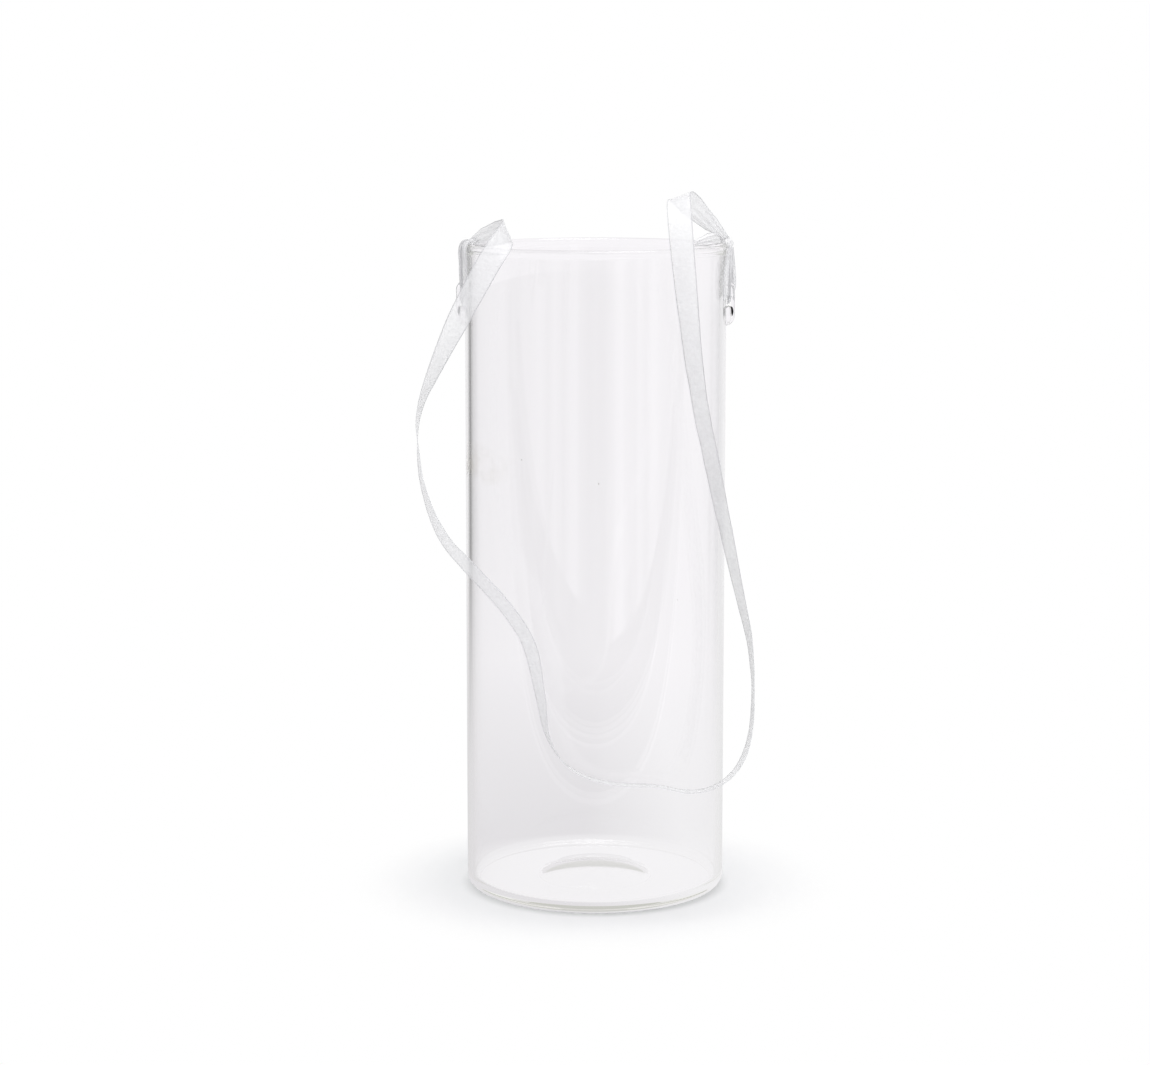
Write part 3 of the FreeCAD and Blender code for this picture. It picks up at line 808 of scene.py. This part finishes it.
# studio: a pale table that ends in front of the vase, with white paper behind. The camera sees plain
# white, light that went straight through the glass sees the paper, and mirrored light sees the room
studio = {
    "tableFront": -0.557,
    "tableBack": 6,
    "tableHalf": 3,
    "table": "#f3f3f4",
    "white": "#ffffff",
    "paper": "#fbf9fc",
    "paperLeft": "#f5f3f6",
    # painted shade: the paper under the vase and close behind it, as the glass shows it, is darker than the
    # paper farther back
    "paperBelow": "#f4f3f5",
    "closeLeft": "#e3e1e4",
    "closeRight": "#f2f1f3",
    "sideLight": "#faf9fc",
    "farWall": "#aaa8ac",
    "ceiling": "#a0a0a2",
    "soft": "#fdfdff",
    "softStrength": 0.56,
}

# how bright mirrored light finds the walls and the table, from straight before the vase to behind it
wallTones = {
    0.0: 0.32,
    0.28: 0.47,
    0.50: 0.70,
    0.80: 0.80,
    0.88: 0.68,
    0.912: 0.40,
    0.932: 0.20,
    0.944: 0.45,
    0.955: 0.94,
    1.0: 1.0,
}
tableTones = {
    0.0: 1.0,
    0.30: 0.84,
    0.50: 0.72,
    0.80: 0.80,
    0.88: 0.68,
    0.912: 0.38,
    0.930: 0.20,
    0.941: 0.50,
    0.952: 0.94,
    1.0: 1.0,
}
# the room's changes by direction: a darker left side, a light on the right wall, and windows in front
room = {
    "tint": (1, 0.986, 1.01),
    "lean": {"From Min": -0.6, "From Max": 0.6, "To Min": 0.93, "To Max": 1.03},
    "sideLight": {"From Min": 0.12, "From Max": 0.36, "To Max": 0.85},
    "facing": {"From Min": 0.86, "From Max": 0.95},
    "farDepth": 2.5,
    "panes": {"Scale": 4.5, "Detail": 2.0},
    "windows": {"From Min": 0.35, "From Max": 0.65, "To Min": 0.45, "To Max": 1.45},
    "horizon": {"From Min": -0.01, "From Max": 0.01},
    "ceiling": {"From Min": 0.25, "From Max": 0.6},
}


def roomTone(tree, direction, tones):
    ahead = addNode(tree, "ShaderNodeSeparateXYZ", sockets={0: direction})
    spread = addNode(
        tree, "ShaderNodeMapRange", sockets={"Value": ahead.outputs[1], "From Min": -1.0, "From Max": 1.0}
    )
    walls = addNode(tree, "ShaderNodeValToRGB", sockets={0: spread.outputs[0]})
    ramp = walls.color_ramp
    for index, (place, tone) in enumerate(tones.items()):
        stop = ramp.elements[index] if index < 2 else ramp.elements.new(place)
        stop.position = place
        stop.color = [tone * part for part in room["tint"]] + [1]
    lean = addNode(tree, "ShaderNodeMapRange", sockets={"Value": ahead.outputs[0], **room["lean"]})
    leaning = addNode(
        tree, "ShaderNodeVectorMath", {"operation": "SCALE"}, {0: walls.outputs[0], "Scale": lean.outputs[0]}
    )
    lit = addNode(tree, "ShaderNodeMapRange", sockets={"Value": ahead.outputs[0], **room["sideLight"]})
    sides = addNode(
        tree,
        "ShaderNodeMix",
        {"data_type": "RGBA"},
        {0: lit.outputs[0], 6: leaning.outputs[0], 7: srgb(studio["sideLight"])},
    )
    # light mirrored by the vase's far wall is dim from every side, so the glass shows from behind too
    light = addNode(tree, "ShaderNodeLightPath")
    far = addNode(
        tree,
        "ShaderNodeMath",
        {"operation": "GREATER_THAN"},
        {0: light.outputs["Transmission Depth"], 1: room["farDepth"]},
    )
    facing = addNode(tree, "ShaderNodeMapRange", sockets={"Value": ahead.outputs[1], **room["facing"]})
    dimmed = addNode(
        tree, "ShaderNodeMath", {"operation": "MULTIPLY"}, {0: far.outputs[0], 1: facing.outputs[0]}
    )
    return addNode(
        tree,
        "ShaderNodeMix",
        {"data_type": "RGBA"},
        {0: dimmed.outputs[0], 6: sides.outputs[2], 7: srgb(studio["farWall"])},
    ).outputs[2]


# which rays come from the camera, which have met glass, and which of those the glass has mirrored
def sortRays(tree):
    light = addNode(tree, "ShaderNodeLightPath")
    throughGlass = addNode(
        tree,
        "ShaderNodeMath",
        {"operation": "MAXIMUM"},
        {0: light.outputs["Is Glossy Ray"], 1: light.outputs["Is Transmission Ray"]},
    )
    mirrored = addNode(
        tree, "ShaderNodeMath", {"operation": "GREATER_THAN"}, {0: light.outputs["Glossy Depth"], 1: 0.5}
    )
    return light.outputs["Is Camera Ray"], throughGlass.outputs[0], mirrored.outputs[0]


# what each change on the table reads, its curve, where it starts and ends, and its two levels.
# reach is metres from the vase's axis, across is metres to the right, bearing is the way round
tableFades = {
    "flat": ("reach", "SMOOTHSTEP", 0.050, 0.098, 0.15, 1),
    # painted shadow: the paper is darkened in a ring just under the heel
    "paintedContactShadow": ("reach", "SMOOTHSTEP", 0.046, 0.0535, 0.66, 1),
    "under": ("reach", "LINEAR", 0.048, 0.075, 0, 1),
    "near": ("reach", "LINEAR", 0.10, 0.45, 0, 1),
    "farther": ("reach", "LINEAR", 0.20, 0.90, 0, 1),
    "side": ("across", "LINEAR", -0.005, 0.04, 0, 1),
    "right": ("bearing", "LINEAR", -0.10, 0.03, 0, 1),
}
# painted reflection: bands on the table before the vase, darker beyond each start and with a bright rim,
# which only mirrored light sees and the glass shows as nested arches
paintedArches = {"starts": {-0.195: 0.60, -0.33: 0.48}, "rim": 0.010, "rimGlow": 1.65}


def layTable():
    bpy.ops.object.select_all(action="DESELECT")
    bpy.ops.mesh.primitive_plane_add(size=1)
    table = bpy.context.object
    table.name = "paleTable"
    half, front, back = studio["tableHalf"], studio["tableFront"], studio["tableBack"]
    corners = ((-half, front), (half, front), (-half, back), (half, back))
    for vertex, (x, y) in zip(table.data.vertices, corners):
        vertex.co = (x, y, 0)
    finish, tree = newFinish("paleTable")
    camSees, glassSees, mirrored = sortRays(tree)
    place = addNode(tree, "ShaderNodeTexCoord").outputs["Object"]
    reach = addNode(tree, "ShaderNodeVectorMath", {"operation": "LENGTH"}, {0: place})
    parts = addNode(tree, "ShaderNodeSeparateXYZ", sockets={0: place})
    around = addNode(tree, "ShaderNodeVectorMath", {"operation": "NORMALIZE"}, {0: place})
    bearing = addNode(tree, "ShaderNodeSeparateXYZ", sockets={0: around.outputs[0]})
    reads = {"reach": reach.outputs[1], "across": parts.outputs[0], "bearing": bearing.outputs[0]}
    fades = {}
    for name, (what, curve, start, end, low, high) in tableFades.items():
        fades[name] = addNode(
            tree,
            "ShaderNodeMapRange",
            {"interpolation_type": curve},
            {"Value": reads[what], "From Min": start, "From Max": end, "To Min": low, "To Max": high},
        ).outputs[0]
    # painted shadow: the paper is darker in the narrow space under the heel
    shaded = addNode(
        tree,
        "ShaderNodeVectorMath",
        {"operation": "SCALE"},
        {0: srgb(studio["table"])[:3], "Scale": fades["paintedContactShadow"]},
    )
    mixes = {"data_type": "RGBA"}
    # painted shade: the table close behind the vase is darker, more on the left
    left, right = srgb(studio["closeLeft"]), srgb(studio["closeRight"])
    close = addNode(tree, "ShaderNodeMix", mixes, {0: fades["side"], 6: left, 7: right}).outputs[2]
    tone = roomTone(tree, around.outputs[0], tableTones)
    shade = addNode(tree, "ShaderNodeMix", mixes, {0: fades["farther"], 6: close, 7: tone}).outputs[2]
    # painted reflection and highlight: darker bands with bright rims, for mirrored light only
    for start, dim in paintedArches["starts"].items():
        rims = ((start, paintedArches["rimGlow"]), (start - paintedArches["rim"], dim / paintedArches["rimGlow"]))
        for edge, level in rims:
            beyond = addNode(
                tree, "ShaderNodeMath", {"operation": "LESS_THAN"}, {0: parts.outputs[1], 1: edge}
            )
            shade = addNode(
                tree,
                "ShaderNodeMix",
                {"data_type": "RGBA", "blend_type": "MULTIPLY"},
                {0: beyond.outputs[0], 6: shade, 7: (level, level, level, 1)},
            ).outputs[2]
    # the paper behind the left side of the vase is a little darker than behind the right
    left, right = srgb(studio["paperLeft"]), srgb(studio["paper"])
    backdrop = addNode(tree, "ShaderNodeMix", mixes, {0: fades["right"], 6: left, 7: right}).outputs[2]
    # painted shade: the paper under the vase, as seen through the glass
    below = addNode(
        tree, "ShaderNodeMix", mixes, {0: fades["under"], 6: srgb(studio["paperBelow"]), 7: close}
    ).outputs[2]
    through = addNode(tree, "ShaderNodeMix", mixes, {0: fades["near"], 6: below, 7: backdrop}).outputs[2]
    inGlass = addNode(tree, "ShaderNodeMix", mixes, {0: mirrored, 6: through, 7: shade})
    paper = addNode(tree, "ShaderNodeBsdfDiffuse", sockets={"Color": shaded.outputs[0]})
    white = addNode(tree, "ShaderNodeEmission", sockets={"Color": srgb(studio["white"]), "Strength": 1.0})
    paintedGlow = addNode(tree, "ShaderNodeEmission", sockets={"Color": inGlass.outputs[2], "Strength": 1.0})
    share = addNode(tree, "ShaderNodeMath", {"operation": "MULTIPLY"}, {0: camSees, 1: fades["flat"]})
    seen = addNode(
        tree, "ShaderNodeMixShader", sockets={0: share.outputs[0], 1: paper.outputs[0], 2: white.outputs[0]}
    )
    mixed = addNode(
        tree, "ShaderNodeMixShader", sockets={0: glassSees, 1: seen.outputs[0], 2: paintedGlow.outputs[0]}
    )
    addNode(tree, "ShaderNodeOutputMaterial", sockets={"Surface": mixed.outputs[0]})
    table.data.materials.append(finish)


layTable()


# white for the camera, the room's tones for glass, an even soft light for the rest
def paintRoom():
    world = bpy.data.worlds.new("studioRoom")
    scene.world = world
    world.use_nodes = True
    tree = world.node_tree
    tree.nodes.clear()
    camSees, glassSees, mirrored = sortRays(tree)
    paper = srgb(studio["paper"])
    mixes = {"data_type": "RGBA"}
    way = addNode(tree, "ShaderNodeTexCoord").outputs["Generated"]
    tone = roomTone(tree, way, wallTones)
    parts = addNode(tree, "ShaderNodeSeparateXYZ", sockets={0: way})
    # tall windows before the vase, which the wall mirrors as upright streaks
    across = addNode(tree, "ShaderNodeCombineXYZ", sockets={0: parts.outputs[0]})
    panes = addNode(tree, "ShaderNodeTexNoise", sockets={"Vector": across.outputs[0], **room["panes"]})
    bright = addNode(tree, "ShaderNodeMapRange", sockets={"Value": panes.outputs["Fac"], **room["windows"]})
    front = addNode(tree, "ShaderNodeMath", {"operation": "LESS_THAN"}, {0: parts.outputs[1], 1: 0.0})
    strength = addNode(
        tree, "ShaderNodeMix", {"data_type": "FLOAT"}, {0: front.outputs[0], 2: 1.0, 3: bright.outputs[0]}
    )
    streaked = addNode(
        tree, "ShaderNodeVectorMath", {"operation": "SCALE"}, {0: tone, "Scale": strength.outputs[0]}
    ).outputs[0]
    height = parts.outputs[2]
    upward = addNode(tree, "ShaderNodeMapRange", sockets={"Value": height, **room["horizon"]}).outputs[0]
    around = addNode(tree, "ShaderNodeMix", mixes, {0: upward, 6: streaked, 7: paper}).outputs[2]
    # the ceiling is dim, which draws the lip
    high = addNode(tree, "ShaderNodeMapRange", sockets={"Value": height, **room["ceiling"]}).outputs[0]
    ahead = addNode(tree, "ShaderNodeMix", mixes, {0: high, 6: paper, 7: srgb(studio["ceiling"])}).outputs[2]
    inGlass = addNode(tree, "ShaderNodeMix", mixes, {0: mirrored, 6: ahead, 7: around})
    lights = {}
    for name, colour, power in (
        ("room", inGlass.outputs[2], 1.0),
        ("white", srgb(studio["white"]), 1.0),
        ("soft", srgb(studio["soft"]), studio["softStrength"]),
    ):
        lights[name] = addNode(
            tree, "ShaderNodeBackground", sockets={"Color": colour, "Strength": power}
        ).outputs[0]
    first = addNode(tree, "ShaderNodeMixShader", sockets={0: glassSees, 1: lights["soft"], 2: lights["room"]})
    last = addNode(tree, "ShaderNodeMixShader", sockets={0: camSees, 1: first.outputs[0], 2: lights["white"]})
    addNode(tree, "ShaderNodeOutputWorld", sockets={"Surface": last.outputs[0]})


paintRoom()


# lamps: place, size in m, power in W, and whether the glass shows them
lampAim = Vector((0, 0, 0.12))
lamps = {
    "topSoftbox": ((0.25, -0.3, 1.7), 1.3, 14, True),
    "frontSoftbox": ((0.3, -1.9, 0.6), 0.8, 13, False),
}
for name, (place, size, power, shows) in lamps.items():
    bpy.ops.object.light_add(type="AREA", location=place)
    lamp = bpy.context.object
    lamp.name = name
    lamp.data.size = size
    lamp.data.energy = power
    lamp.rotation_euler = (lampAim - Vector(place)).to_track_quat("-Z", "Y").to_euler()
    lamp.visible_glossy = shows
    lamp.visible_transmission = shows
print("studio lit")

scene.view_settings.view_transform = "Standard"
